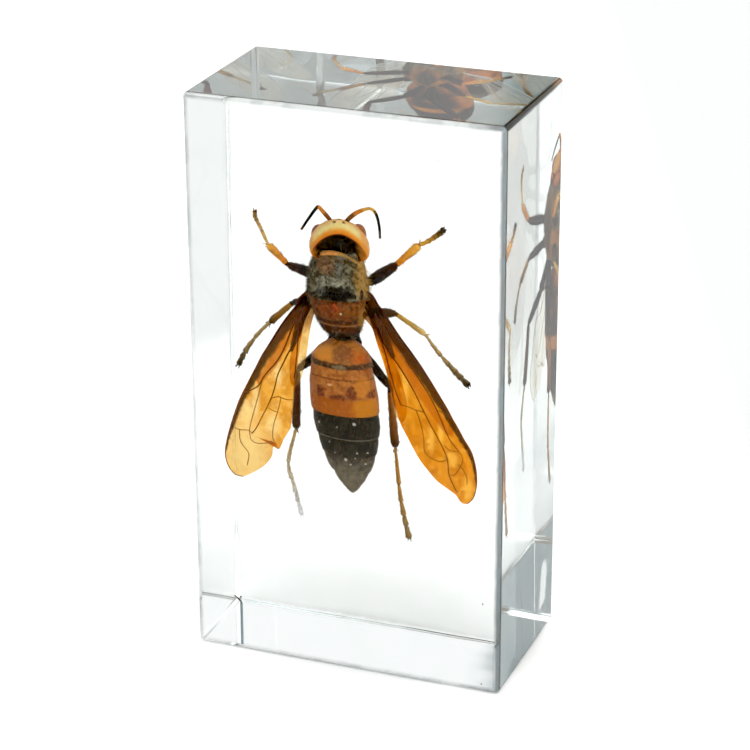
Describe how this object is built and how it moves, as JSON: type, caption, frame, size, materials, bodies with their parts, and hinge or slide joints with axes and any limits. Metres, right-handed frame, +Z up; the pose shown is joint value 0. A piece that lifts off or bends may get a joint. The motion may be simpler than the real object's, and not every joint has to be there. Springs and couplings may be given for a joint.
{
  "type": "insect specimen in clear resin block",
  "caption": "Upright clear resin block with softly rounded edges, holding a dried hornet with its wings and legs spread, seen from the back.",
  "frame": {"origin": "middle of the block's bottom face", "axes": "+Z up along the block's longest side, +Y through its thickness away from the broad face that shows the hornet's back, +X to the right when that face is looked at"},
  "size_m": [0.041, 0.022, 0.074],
  "materials": {
    "dried_chitin": "satin brown and orange",
    "resin_front_clear": "clear, polished",
    "resin_back_clear": "clear, polished"
  },
  "bodies": {
    "root": {"hornet": "dried_chitin", "resin_front": "resin_front_clear", "resin_back": "resin_back_clear"}
  },
  "joints": []
}
